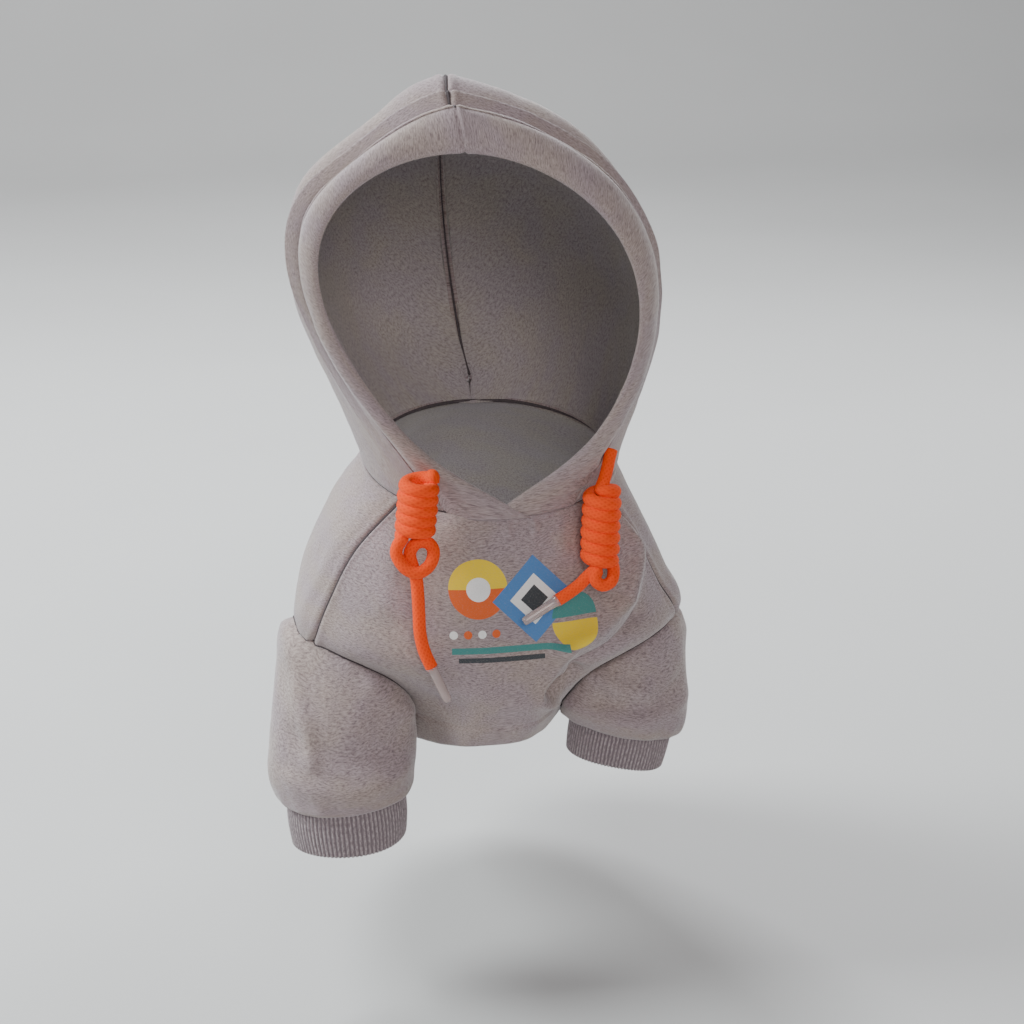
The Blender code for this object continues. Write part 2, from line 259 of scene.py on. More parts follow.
def knitted_cord():
    made, look = new_look("knitted orange cord")
    place = look.add("ShaderNodeUVMap", {"uv_map": "UVMap"})
    parts = [look.add("ShaderNodeSeparateXYZ", {}, {0: place}, i) for i in (0, 1)]
    u, v = parts[0] * (2 * math.pi * 9 / (math.pi * CORD * MM)), parts[1] * (2 * math.pi / 0.0021)
    one = look.maths("SINE", u + v)
    other = look.maths("SINE", u - v)
    braid = look.maths("MAXIMUM", one, other)
    grain = look.add(
        "ShaderNodeTexNoise", {}, {"Vector": look.add("ShaderNodeTexCoord", out=3), "Scale": 1500.0, "Detail": 3.0}
    )
    patch = look.add(
        "ShaderNodeTexNoise", {}, {"Vector": look.add("ShaderNodeTexCoord", out=3), "Scale": 160.0, "Detail": 2.0}
    )
    # Painted shade: the cord is darker in the grooves between the braid's strands and lighter on their crests,
    # following the braid that also makes its bump.
    colour = look.mix(braid * 0.5 + 0.5, (0.80, 0.042, 0.004), (1.0, 0.075, 0.006))
    colour = look.mix(grain * 0.3, colour, (1.0, 0.20, 0.045))
    colour = look.mix(patch * 0.35, colour, (0.78, 0.035, 0.004))
    height = braid * 0.45 + grain * 0.9
    bump = look.add("ShaderNodeBump", {}, {"Strength": 0.5, "Distance": 0.00022, "Height": height})
    wear(look, look.add("ShaderNodeBsdfPrincipled", {}, {
        "Base Color": colour, "Roughness": 0.85, "Normal": bump, "Sheen Weight": 0.15,
        "Sheen Roughness": 0.45, "Sheen Tint": (1.0, 0.45, 0.25, 1), "Specular IOR Level": 0.15,
    }))
    return made


cord_look = knitted_cord()
cord_lines = {}
for side, coil in COILS.items():
    top, bottom = Vector(coil.top), Vector(coil.bottom)
    wound = []
    steps = round(coil.turns * 20)
    for i in range(steps + 1):
        share, turn = i / steps, math.radians(coil.start + 360 * coil.turns * i / steps)
        centre = top.lerp(bottom, share)
        drift = 0.35 * noise.noise(Vector((share * 9, side * 4, 0)))
        out = coil.radius * min(1.0, coil.enter + i / 10) + drift
        wound.append(centre + Vector((math.sin(turn) * out, -math.cos(turn) * out, 0)))
    points = [Vector(p) for p in CORD_STARTS[side]] + wound + [Vector(p) for p in CORD_ENDS[side]]
    line = even_line(points, 1.2)
    cord_lines[side] = line
    word = WORDS[side]

    def cord_radius(v):
        """The wound turns press on one another and spread a little."""
        height = line[round(v * (len(line) - 1))].z
        wound_here = 1 / (1 + math.exp(-(height - coil.bottom[2] - 1) / 1.5))
        wound_here *= 1 / (1 + math.exp((height - coil.top[2] - 1) / 1.5))
        return CORD / 2 + 0.35 * wound_here

    cord = dress(
        f"drawcord_end_{word}", tube(line, cord_radius, 16), [cord_look], "orange_cord",
        f"drawcord_{word}", f"knot_{word}", f"cord_tail_{word}",
    )


# Aglets: a clear film tube shrunk over each cord's end, a little narrower than the cord.
AGLET_LENGTH, AGLET_RADIUS = 18, 2.3


def clear_film():
    made, look = new_look("clear film")
    haze = look.add(
        "ShaderNodeTexNoise", {}, {"Vector": look.add("ShaderNodeTexCoord", out=3), "Scale": 260.0, "Detail": 2.0}
    )
    bump = look.add("ShaderNodeBump", {}, {"Strength": 0.25, "Distance": 0.0002, "Height": haze})
    wear(look, look.add("ShaderNodeBsdfPrincipled", {}, {
        "Base Color": look.mix(haze, (0.55, 0.42, 0.40), (0.72, 0.62, 0.60)), "Roughness": haze * 0.15 + 0.08,
        "Transmission Weight": 0.55, "IOR": 1.35, "Coat Weight": 0.6, "Coat Roughness": 0.08, "Normal": bump,
    }))
    return made


film = clear_film()
for side, word in WORDS.items():
    line = cord_lines[side]
    ahead = (line[-1] - line[-3]).normalized()
    run = [line[-1] - ahead * 0.6 + ahead * (AGLET_LENGTH + 0.6) * i / 24 for i in range(25)]

    def film_radius(v):
        flare = 0.75 * math.exp(-((v / 0.07) ** 2))
        return AGLET_RADIUS + flare - 0.25 * v - 0.5 * max(0.0, (v - 0.94) / 0.06) ** 2

    aglet = dress(
        f"aglet_film_{word}", tube(run, film_radius, 20), [film], "clear_plastic", f"aglet_{word}"
    )
    [p * MM for p in line]


# Body: a chest panel and a back panel of brushed-back fleece, joined by seams over the
# shoulders and down the sides, with a turned hem. The neck seam carries the hood.
FLEECE = 2.2
Section = namedtuple(
    "Section",
    "name front_y front_z side_y side_z back_y back_z half_width middle_x egg keel tongue seam",
)
TORSO = [
    Section("neck", -57, -9, -6, 5, 42, 20, 60, 0, 0.0, 0.0, 60, 52),
    Section("yoke", -64, -29, -2, -18, 68, 6, 73, -4, -0.17, 0.0, 60, 55),
    Section("chest", -70, -55, 4, -46, 98, -20, 86, -4, -0.15, 0.0, 58, 59),
    Section("shoulder", -73, -79, 6, -69, 122, -58, 93, -2, -0.1, 0.1, 50, 66),
    Section("armpit", -71, -101, 36, -100, 142, -104, 84, -5, 0.0, 0.7, 40, 84),
    Section("hem", -62, -120, 60, -131, 156, -154, 76, -9, 0.0, 1.0, 33, 96),
]
TorsoFold = namedtuple("TorsoFold", "side neck_at hem_at height width")
TORSO_FOLDS = [
    TorsoFold(LEFT, 62, 76, 2.2, 7),
    TorsoFold(RIGHT, 66, 74, 1.8, 6),
    TorsoFold(LEFT, 128, 118, 2.5, 12),
    TorsoFold(RIGHT, 128, 118, 2.5, 12),
]
# Folds drawn from the front: where each runs as (x, z), how high it stands and how wide it is.
Fold = namedtuple("Fold", "name path height width")
CHEST_FOLDS = [
    Fold("over the right armhole", [(61, -22), (61, -38), (54, -54), (38, -65), (21, -70)], 6.5, 4.8),
    Fold("edge by the right armpit", [(22, -72), (14, -84), (10, -96), (20, -104)], 2.6, 3.0),
    Fold("hollow at the right armpit", [(30, -88), (17, -93)], -9.0, 4.2),
    Fold("valley under the right fold", [(60, -62), (46, -74), (27, -81)], -4.5, 3.2),
    Fold("pull from the left coil", [(-52, -24), (-60, -48)], 1.0, 6.0),
    Fold("slack under the print", [(-36, -88), (-8, -94), (14, -98)], 1.3, 7.0),
    Fold("dip over the hem", [(-34, -97), (-6, -103), (18, -105)], -0.8, 5.0),
    Fold("gather by the collar, left", [(-4, -8), (-3, -17)], 1.3, 2.2),
    Fold("gather by the collar, right", [(9, -7), (10, -16)], 1.1, 2.0),
    Fold("collar drag, left", [(-26, -12), (-20, -28), (-18, -40)], 0.8, 5.0),
    Fold("collar drag, right", [(24, -10), (22, -26)], 0.8, 5.0),
]


def blend(rows, place, columns):
    """The named columns at a place between rows, on a smooth curve through the rows."""
    low = min(max(int(math.floor(place)), 0), len(rows) - 2)
    part = place - low
    near = [rows[min(max(low + k, 0), len(rows) - 1)] for k in (-1, 0, 1, 2)]
    values = []
    for column in columns:
        a, b, c, d = (getattr(row, column) for row in near)
        values.append(b + 0.5 * part * (c - a + part * (2 * a - 5 * b + 4 * c - d + part * (3 * (b - c) + d - a))))
    return values


def torso_point(angle, place, fold=True):
    """A point of the torso's outside, at degrees from the front and a place down its rows."""
    front_y, front_z, side_y, side_z, back_y, back_z, width, middle, egg, keel, tongue = blend(
        TORSO, place, Section._fields[1:-1]
    )
    turn = math.radians(angle)
    sine, cosine = math.sin(turn), math.cos(turn)
    down, stand = place / (len(TORSO) - 1), 0.0
    for row in TORSO_FOLDS if fold else ():
        centre = row.side * (row.neck_at + (row.hem_at - row.neck_at) * down)
        away = (angle - centre + 180) % 360 - 180
        stand += row.height * math.exp(-((away / row.width) ** 2)) * math.sin(math.pi * down)
    keel, reach = keel * math.sqrt(max(cosine, 0.0)), abs(sine)
    half = tongue * reach ** (1 - keel / 2) + (width - tongue) * reach ** (1 + 7 * keel)
    x = math.copysign(half + stand * reach, sine) * (1 - egg * cosine)
    y = side_y + (front_y - back_y) / 2 * cosine + ((front_y + back_y) / 2 - side_y) * cosine**2
    z = side_z + (front_z - back_z) / 2 * cosine + ((front_z + back_z) / 2 - side_z) * cosine**2
    return Vector((middle + x, y - stand * 0.4 * cosine, z))


def fold_height(point, folds):
    """How far folds drawn from the front lift a point."""
    total, here = 0.0, Vector((point.x, point.z))
    for row in folds:
        path = [Vector(p) for p in row.path]
        nearest, ends = 1e9, 1.0
        for i, (a, b) in enumerate(zip(path, path[1:])):
            share = (here - a).dot(b - a) / (b - a).length_squared
            gap = (here - a.lerp(b, min(max(share, 0), 1))).length
            nearest = min(nearest, gap)
        if nearest < 3 * row.width:
            total += row.height * math.exp(-((nearest / row.width) ** 2))
    return total


def drape(point, big=0.9, small=0.25):
    """The cloth's own unevenness, in millimetres."""
    return big * noise.noise(point / 32) + small * noise.noise(point / 11)


def seam_roll(gap):
    """A seam's narrow valley and the rounded lip beside it, by distance from the stitching."""
    return 0.55 * math.exp(-(((gap - 2.6) / 1.7) ** 2)) - 1.3 * math.exp(-((gap / 0.9) ** 2))


def press(mesh, relief):
    """Moves each point along its own normal by relief(vertex, across, along)."""
    across, along = mesh.verts.layers.float["across"], mesh.verts.layers.float["along"]
    mesh.normal_update()
    moves = [(v, v.normal * relief(v.co / MM, v[across], v[along]) * MM) for v in mesh.verts]
    for vert, move in moves:
        vert.co += move


def thicken(piece, thickness):
    """Cloth gets its thickness inwards, and the brushed look on its inside."""
    solid = piece.modifiers.new("cloth", "SOLIDIFY")
    solid.thickness, solid.offset, solid.material_offset = thickness * MM, -1, 1
    solid.use_rim = True


def marl(name, streak=(460, 1700), light=(0.47, 0.405, 0.395), dark=(0.175, 0.136, 0.142), artwork=None):
    """Marl fleece: light and dark fibres in short streaks, on UVs in metres."""
    made, look = new_look(name)
    place = look.add("ShaderNodeUVMap", {"uv_map": "UVMap"})
    bend = look.add("ShaderNodeTexNoise", {"noise_dimensions": "2D"}, {"Vector": place, "Scale": 90.0}, 1)
    wavy = look.add("ShaderNodeVectorMath", {"operation": "MULTIPLY_ADD"}, {0: bend, 1: (0.004,) * 3, 2: place})

    def fibre(scale, detail):
        grain = look.add("ShaderNodeMapping", {}, {"Vector": wavy, "Scale": (*scale, 1)})
        return look.add(
            "ShaderNodeTexNoise", {"noise_dimensions": "2D"},
            {"Vector": grain, "Scale": 1.0, "Detail": detail, "Roughness": 0.62},
        )

    slub = fibre(streak, 3.0)
    fine = fibre([s * 2.6 for s in streak], 1.0)
    blot = fibre((28, 42), 2.0)
    colour = look.add("ShaderNodeValToRGB", {"stops": [
        (0.30, dark), (0.46, [0.55 * a + 0.45 * b for a, b in zip(dark, light)]),
        (0.58, [0.25 * a + 0.75 * b for a, b in zip(dark, light)]), (0.76, light),
    ]}, {0: slub * 0.72 + fine * 0.28})
    tint = look.add("ShaderNodeValToRGB", {"stops": [(0.36, (0.955, 0.915, 0.975)), (0.64, (1.0, 0.965, 0.90))]}, {0: blot})
    colour = look.mix(0.85, colour, tint, "MULTIPLY")
    height = slub * 0.8 + fine * 0.8
    shine = 0.92
    if artwork:
        colour, shine = artwork(look, colour, fine)
    bump = look.add("ShaderNodeBump", {}, {"Strength": 0.45, "Distance": 0.0003, "Height": height})
    wear(look, look.add("ShaderNodeBsdfPrincipled", {}, {
        "Base Color": colour, "Roughness": shine, "Normal": bump, "Sheen Weight": 0.45,
        "Sheen Roughness": 0.4, "Sheen Tint": (0.92, 0.93, 0.95, 1), "Specular IOR Level": 0.2,
    }))
    return made


# Print: a flat water-based print of plain shapes on the chest, in yellow, orange, blue, teal,
# white and slate, soft enough that the fleece shows through it a little.
SLATE, TEAL, WHITE = (0.045, 0.055, 0.062), (0.055, 0.25, 0.235), (0.86, 0.87, 0.86)
YELLOW, ORANGE, BLUE = (0.86, 0.62, 0.030), (0.72, 0.12, 0.020), (0.075, 0.22, 0.50)


def chest_print(look, cloth, fine):
    place = look.add("ShaderNodeTexCoord", out=3)
    x, z = (look.add("ShaderNodeSeparateXYZ", {}, {0: place}, i) * 1000 for i in (0, 2))

    def disc(cx, cz, radius):
        return ((x - cx) * (x - cx) + (z - cz) * (z - cz)) < radius**2

    def bar(cx, cz, half_long, half_wide, turn=0.0):
        c, s = math.cos(math.radians(turn)), math.sin(math.radians(turn))
        long = look.maths("ABSOLUTE", (x - cx) * c + (z - cz) * s)
        wide = look.maths("ABSOLUTE", (z - cz) * c - (x - cx) * s)
        return (long < half_long) * (wide < half_wide)

    shapes = [
        (disc(-18, -40, 13.5), YELLOW),
        (disc(-18, -40, 13.5) * (z < -40), ORANGE),
        (disc(-18, -40, 5.5), WHITE),
        (bar(8, -46, 14, 14, 45), BLUE),
        (bar(8, -46, 8.2, 8.2, 45), WHITE),
        (bar(8, -46, 4.6, 4.6, 45), SLATE),
        (disc(27, -56, 11) * (z > -56), TEAL),
        (disc(27, -58, 11) * (z < -58), YELLOW),
        (bar(-4, -68, 27, 1.5), TEAL),
        (bar(-8, -72.5, 20, 1.2), SLATE),
    ]
    for i in range(4):
        shapes.append((disc(-30 + 6.5 * i, -60.5, 1.9), ORANGE if i % 2 else WHITE))
    ink, inked = cloth, None
    for mask, colour in shapes:
        ink = look.mix(mask, ink, colour)
        inked = mask if inked is None else look.maths("MAXIMUM", inked, mask)
    worn = inked * (0.97 - 0.16 * (fine > 0.62))
    return look.mix(worn, cloth, ink), 0.92 - inked * 0.25


fleece = marl("marl fleece")
fleece_printed = marl("marl fleece with print", artwork=chest_print)
fleece_inside = marl("brushed fleece back", streak=(900, 900), light=(0.50, 0.47, 0.46), dark=(0.24, 0.215, 0.215))

HEM_BAND, CHEST_LONG, BACK_LONG = 15, 118, 205


def seam_angle(place):
    """Where the shoulder and side seam lies round the torso."""
    return blend(TORSO, place, ["seam"])[0]


def chest_surface(u, v):
    place = v * (len(TORSO) - 1)
    angle = (2 * u - 1) * seam_angle(place)
    low = max(0.0, (v - 0.65) / 0.35) ** 1.5
    sag = 9 * math.exp(-(((angle + 50) / 24) ** 2)) + 5 * math.exp(-(((angle - 42) / 16) ** 2))
    out = 5 * math.exp(-(((angle - 45) / 20) ** 2))
    return torso_point(angle, place) + Vector((out, 0, -sag)) * low


def back_surface(u, v):
    place = v * (len(TORSO) - 1)
    half = 180 - seam_angle(place)
    return torso_point(180 - (2 * u - 1) * half, place)


def hem_band(gap):
    """A hem turned up once: thicker below its line of stitching."""
    turned = 1 / (1 + math.exp((gap - HEM_BAND) / 0.5))
    return 0.45 * turned - 0.55 * math.exp(-(((gap - HEM_BAND) / 0.9) ** 2)) - 0.8 * math.exp(-((gap / 1.2) ** 2))


def chest_relief(point, across, along):
    side = (1 - abs(2 * across - 1)) * 88
    edge = seam_roll(side) + seam_roll(along * CHEST_LONG) + hem_band((1 - along) * CHEST_LONG)
    fade = min(1.0, side / 8) * min(1.0, along * CHEST_LONG / 6)
    return edge + (fold_height(point, CHEST_FOLDS) + drape(point)) * fade


def back_relief(point, across, along):
    side = (1 - abs(2 * across - 1)) * 150
    edge = seam_roll(side) + seam_roll(along * BACK_LONG) + hem_band((1 - along) * BACK_LONG)
    slack = 1.6 * math.sin(point.z / 9 + 1.5 * noise.noise(point / 40)) * math.exp(-(((along - 0.45) / 0.3) ** 2))
    wrinkle = max(0.0, 1 - abs(2 * across - 1) * 1.5)
    return edge + (slack * wrinkle + drape(point, 1.6, 0.35)) * min(1.0, side / 8)


chest_mesh = lay(chest_surface, 170, 120)
face_out(chest_mesh)
press(chest_mesh, chest_relief)
chest_mesh.normal_update()
back_mesh = lay(back_surface, 230, 150)
face_out(back_mesh)
press(back_mesh, back_relief)
back_mesh.normal_update()
torso_trees = [BVHTree.FromBMesh(mesh) for mesh in (chest_mesh, back_mesh)]


def depth(trees, point):
    """How far a point is outside the nearest of these surfaces; negative is inside."""
    found = [tree.find_nearest(point * MM) for tree in trees]
    spot, normal, _, gap = min(found, key=lambda hit: hit[3])
    return math.copysign(gap, (point * MM - spot).dot(normal)) / MM


# Sleeves: short tubes set into the armholes. Each is fuller than its cuff and hangs over it.
Ring = namedtuple("Ring", "name x y z half_x half_y roll")
SLEEVES = {
    LEFT: [
        Ring("root", -62, -2, -48, 20, 20, 0),
        Ring("armhole", -72.5, -12, -80, 29, 32, 0),
        Ring("upper", -77, -27, -104, 32.5, 33, 0),
        Ring("blouse", -79, -38, -130, 34.5, 31, -3),
        Ring("lip", -78.5, -41, -142, 33, 30, -4),
        Ring("turn", -78, -42, -145.5, 30.5, 28.5, -4),
        Ring("tuck", -78, -42, -144.9, 27.6, 25.6, -4),
    ],
    RIGHT: [
        Ring("root", 56, -2, -46, 20, 20, 0),
        Ring("armhole", 63.5, -10.5, -76.5, 28.5, 32, 2),
        Ring("upper", 63, -21, -96, 31, 32, 5),
        Ring("blouse", 61, -28, -114, 32.5, 29.5, 9),
        Ring("lip", 60.5, -29, -123.5, 30.5, 28.5, 10),
        Ring("turn", 60.5, -29, -127, 27.2, 25.8, 11),
        Ring("tuck", 60.5, -29, -126.4, 24.4, 23.0, 11),
    ],
}
SLEEVE_FOLDS = {
    LEFT: [
        Fold("lit fold on the outside", [(-98, -76), (-99, -95), (-97, -108), (-96, -122)], 2.4, 3.5),
        Fold("slack over the cuff", [(-104, -131), (-80, -136), (-54, -130)], 2.2, 5.0),
        Fold("crease under the armhole", [(-66, -92), (-50, -108)], 1.8, 4.5),
        Fold("hollow over the blouse", [(-102, -112), (-78, -121), (-56, -116)], -1.8, 4.5),
    ],
    RIGHT: [
        Fold("slack over the cuff", [(34, -112), (58, -118), (86, -112)], 2.0, 4.5),
        Fold("crease from the armpit", [(36, -92), (52, -100), (64, -103)], 2.0, 4.0),
        Fold("hollow over the blouse", [(46, -106), (66, -110), (86, -101)], -1.6, 3.8),
        Fold("shoulder tip", [(80, -58), (84, -74)], 1.2, 5.0),
    ],
}


def sleeve_point(side, angle, place):
    """A point of a sleeve's outside, at degrees round it and a place down its rings."""
    x, y, z, half_x, half_y, roll = blend(SLEEVES[side], place, Ring._fields[1:])
    turn = math.radians(angle)
    local = Vector((half_x * math.sin(turn), -half_y * math.cos(turn), 0))
    return Vector((x, y, z)) + Matrix.Rotation(math.radians(roll), 3, "Y") @ local


# Painted shade: a dark grey, darker than the fleece, for the thin tubes in the seam valleys that stand for the shade
# in each seam's groove.
def seam_shade_line():
    made, look = new_look("painted seam shade")
    grain = look.add(
        "ShaderNodeTexNoise", {}, {"Vector": look.add("ShaderNodeTexCoord", out=3), "Scale": 900.0, "Detail": 2.0}
    )
    bump = look.add("ShaderNodeBump", {}, {"Strength": 0.4, "Distance": 0.0002, "Height": grain})
    wear(look, look.add("ShaderNodeBsdfPrincipled", {}, {
        "Base Color": look.mix(grain, (0.055, 0.046, 0.050), (0.130, 0.112, 0.118)),
        "Roughness": 0.95, "Normal": bump, "Specular IOR Level": 0.1,
    }))
    return made


ARMHOLE_TOP = -52
painted_seam_shade = seam_shade_line()
sleeve_trees = {}
for side, word in WORDS.items():
    last = len(SLEEVES[side]) - 1

    def sleeve_surface(u, v):
        return sleeve_point(side, 360 * u - 180, v * last)

    def sleeve_relief(point, across, along):
        gap = depth(torso_trees, point)
        armhole = seam_roll(max(gap, 0.0)) + 1.6 * math.exp(-(((gap - 7) / 6) ** 2))
        turn = 2 * math.pi * across
        low = math.exp(-(((along - 0.68) / 0.12) ** 2))
        gather = 0.4 * low * (math.sin(11 * turn + 3 * math.sin(2 * turn + side)) + 0.6 * math.sin(17 * turn))
        fade = min(1.0, max(0.0, (0.86 - along) / 0.12))
        return armhole + gather + (fold_height(point, SLEEVE_FOLDS[side]) + drape(point, 1.5, 0.4)) * fade

    # The armhole seam: a thin tube in painted seam shade where the sleeve meets the torso.
    seam = []
    for i in range(161):
        inner, outer = 0.02, 0.75
        for _ in range(14):
            middle = (inner + outer) / 2
            if depth(torso_trees, sleeve_surface(i / 160, middle)) < 0:
                inner = middle
            else:
                outer = middle
        seam.append(sleeve_surface(i / 160, inner))
    dress(f"armhole_seam_{word}", tube(seam, lambda v: 0.55, 8), [painted_seam_shade], "marl_fleece")

    mesh = lay(sleeve_surface, 190, 110)
    bmesh.ops.remove_doubles(mesh, verts=mesh.verts, dist=1e-6)
    face_out(mesh)
    sleeve_trees[side] = BVHTree.FromBMesh(mesh)
    press(mesh, sleeve_relief)
    buried = [f for f in mesh.faces if depth(torso_trees, f.calc_center_median() / MM) < -1.2]
    bmesh.ops.delete(mesh, geom=buried, context="FACES")
    sleeve = dress(f"sleeve_cloth_{word}", mesh, [fleece, fleece_inside], "marl_fleece", f"sleeve_{word}")
    thicken(sleeve, FLEECE)

for name, mesh, look, node in (
    ("chest_cloth", chest_mesh, fleece_printed, "chest_panel"),
    ("back_cloth", back_mesh, fleece, "back_panel"),
):
    low = [f for f in mesh.faces if f.calc_center_median().z < ARMHOLE_TOP * MM]
    inside = [
        f for f in low
        if min(depth([tree], f.calc_center_median() / MM) for tree in sleeve_trees.values()) < -2.0
    ]
    bmesh.ops.delete(mesh, geom=inside, context="FACES")
    panel = dress(name, mesh, [look, fleece_inside], "marl_fleece", node)
    thicken(panel, FLEECE)


# Seam lines: the overlocked seams show from outside as thin dark tubes in their valleys; the dark is painted shade
# for the shade that falls in each seam's groove.
def torso_seam(angle, place):
    return torso_point(angle, place) * 0.985


for side, word in WORDS.items():
    run = [torso_seam(side * seam_angle(i / 24), i / 24) for i in range(121)]
    dress(f"shoulder_seam_{word}", tube(run, lambda v: 0.6, 8), [painted_seam_shade], "marl_fleece")
collar = [torso_seam(a, 0.02) + Vector((0, 0, 0.2)) for a in range(-180, 181, 2)]
dress("neck_seam", tube(collar, lambda v: 0.9, 8), [painted_seam_shade], "marl_fleece")


# Cuffs: one-by-one rib, knitted as a tube, folded double and sewn inside the sleeve's end.
CUFF_HEIGHT, CUFF_RIBS, RIB_WALL = 26, 84, 2.2
CUFF_TUCK = {LEFT: 3.5, RIGHT: 9}


def ribbing():
    made, look = new_look("marl rib")
    place = look.add("ShaderNodeUVMap", {"uv_map": "UVMap"})
    grain = look.add("ShaderNodeMapping", {}, {"Vector": place, "Scale": (1500, 520, 1)})
    slub = look.add("ShaderNodeTexNoise", {"noise_dimensions": "2D"}, {"Vector": grain, "Scale": 1.0, "Detail": 3.0})
    rise = look.add("ShaderNodeAttribute", {"attribute_name": "rib"}, {}, 2)
    colour = look.add("ShaderNodeValToRGB", {"stops": [
        (0.28, (0.205, 0.165, 0.180)), (0.52, (0.345, 0.290, 0.300)), (0.76, (0.50, 0.44, 0.45)),
    ]}, {0: slub})
    # Painted shade: the colour darkens towards (0.150, 0.120, 0.134) where the rib attribute is low, in the grooves
    # between the ribs.
    colour = look.mix(1 - rise, colour, (0.150, 0.120, 0.134))
    loops = look.maths("SINE", look.add("ShaderNodeSeparateXYZ", {}, {0: place}, 1) * (2 * math.pi / 0.0011))
    bump = look.add("ShaderNodeBump", {}, {
        "Strength": 0.5, "Distance": 0.0003, "Height": slub + loops * 0.3,
    })
    wear(look, look.add("ShaderNodeBsdfPrincipled", {}, {
        "Base Color": colour, "Roughness": 0.9, "Normal": bump, "Sheen Weight": 0.35,
        "Sheen Roughness": 0.4, "Specular IOR Level": 0.2,
    }))
    return made


rib_look = ribbing()
for side, word in WORDS.items():
    end = SLEEVES[side][-2]
    tilt = Matrix.Rotation(math.radians(end.roll), 3, "Y")

    def cuff_profile(v):
        """(how far down, how far in) along the folded rib, from its top outside to inside."""
        run = v * (2 * CUFF_HEIGHT + 3.4)
        if run < CUFF_HEIGHT:
            return run, 0.0
        turn = min((run - CUFF_HEIGHT) / 3.4, 1.0)
        down = CUFF_HEIGHT + 1.1 * math.sin(math.pi * turn)
        if turn < 1:
            return down, RIB_WALL * (1 - math.cos(math.pi * turn)) / 2
        return 2 * CUFF_HEIGHT + 3.4 - run, RIB_WALL

    def cuff_surface(u, v):
        down, inward = cuff_profile(v)
        turn = 2 * math.pi * u
        inset = FLEECE + 0.9 + inward - 1.0 * math.sin(math.pi * min(down / CUFF_HEIGHT, 1))
        flare = 0.5 * math.sin(3 * turn + side) * (down / CUFF_HEIGHT) ** 2
        half_x, half_y = end.half_x - inset + flare, end.half_y - inset + flare
        wave = 0.5 * math.sin(2 * turn + 1) * down / CUFF_HEIGHT
        local = Vector((half_x * math.sin(turn), half_y * math.cos(turn), CUFF_TUCK[side] - down + wave))
        return Vector((end.x, end.y, end.z)) + tilt @ local

    mesh = lay(cuff_surface, CUFF_RIBS * 6, 44)
    rib = mesh.verts.layers.float.new("rib")
    across = mesh.verts.layers.float["across"]
    for vert in mesh.verts:
        wander = 0.25 * noise.noise(vert.co * 90)
        wave = 0.5 + 0.5 * math.cos(2 * math.pi * (vert[across] * CUFF_RIBS) + wander)
        vert[rib] = wave**0.8
    bmesh.ops.remove_doubles(mesh, verts=mesh.verts, dist=1e-6)
    bmesh.ops.recalc_face_normals(mesh, faces=mesh.faces)
    mesh.normal_update()
    moves = [(v, v.normal * (v[rib] - 0.6) * 0.5 * MM) for v in mesh.verts]
    for vert, move in moves:
        vert.co += move
    dress(f"rib_cuff_{word}", mesh, [rib_look], "marl_rib", f"cuff_{word}")


# Hood: two fleece panels joined over the top, standing back in two soft crosswise folds. Its
# foot is sewn to the neck.
Arch = namedtuple("Arch", "name foot_angle peak_x peak_y peak_z bulge side_back skew crest flat")
HOOD = [
    Arch("face edge", 5, -22, -62, 157, 67.5, 0, 0.85, 1.0, 0),
    Arch("casing seam", 30, -25, -57, 173.5, 56.5, 9, 0.9, 1.15, 8),
    Arch("valley one", 39, -25, -49, 170, 51, 8, 0.92, 1.2, 9),
    Arch("fold one", 50, -25, -38, 175, 46.5, 6, 0.92, 1.25, 9),
    Arch("valley two", 62, -23, -25, 173.5, 41, 4, 0.92, 1.25, 9),
    Arch("fold two", 76, -20, -6, 178.5, 36.5, 2, 0.92, 1.25, 9),
    Arch("crown", 94, -16, 30, 168, 31, 0, 0.95, 1.2, 8),
    Arch("upper back", 112, -11, 62, 143, 27, 0, 1.0, 1.1, 5),
    Arch("back", 129, -7, 81, 112, 22, 0, 1.0, 1.0, 2),
    Arch("lower back", 146, -4, 82, 79, 17, 0, 1.0, 1.0, 0),
    Arch("nape fold", 163, -2, 66, 48, 11, 0, 1.0, 1.0, 0),
    Arch("nape", 180, 0, 48, 28, 0, 0, 1.0, 1.0, 0),
]
HOOD_TURN, HOOD_SWAY, HOOD_POINT, HOOD_FLAT_AT, HOOD_FLAT_WIDTH = -12, -6.5, 3.0, 0.74, 0.2
HOOD_SUNK = 1.6
HOOD_TWIST = Matrix.Rotation(math.radians(HOOD_TURN), 3, "Z")


def hood_point(across, place):
    """A point of the hood: across runs -1 (left foot), 0 (peak), 1 (right foot)."""
    foot_angle, peak_x, peak_y, peak_z, bulge, side_back, skew, crest, flat = blend(
        HOOD, place, Arch._fields[1:]
    )
    side = -1 if across < 0 else 1
    rise = min(max(1 - abs(across), 0.0), 1.0)
    up, out = math.sin(rise * math.pi / 2), math.cos(rise * math.pi / 2)
    hump = max(math.sin(math.pi * rise**skew), 0.0) ** crest
    foot = torso_point(side * foot_angle, 0, fold=False)
    base = Vector((foot.x * out, foot.y * (1 - up), foot.z * (1 - up) - HOOD_SUNK * (1 - up)))
    swell = Vector((side * bulge + HOOD_SWAY * bulge / HOOD[0].bulge, side_back, 0)) * hump
    lift = Vector((peak_x * up, peak_y, peak_z)) * up
    lift.z += HOOD_POINT * math.exp(-abs(across) / 0.09) * min(max(place, 0), 1)
    flat *= math.exp(-(((rise - HOOD_FLAT_AT) / HOOD_FLAT_WIDTH) ** 2)) * (1 - rise**12) ** 2
    if side < 0:
        lift += Vector((1, 0, -1)).normalized() * flat
    return base + lift + HOOD_TWIST @ swell


def fold_rise(place):
    """The two crosswise folds stand sharper than the arches alone: crests less valleys."""
    rise = 4.2 * math.exp(-abs(place - 2.9) / 0.30) + 3.0 * math.exp(-(((place - 5.0) / 0.42) ** 2))
    return rise - 3.2 * math.exp(-(((place - 1.9) / 0.42) ** 2)) - 5.0 * math.exp(-(((place - 3.75) / 0.45) ** 2))


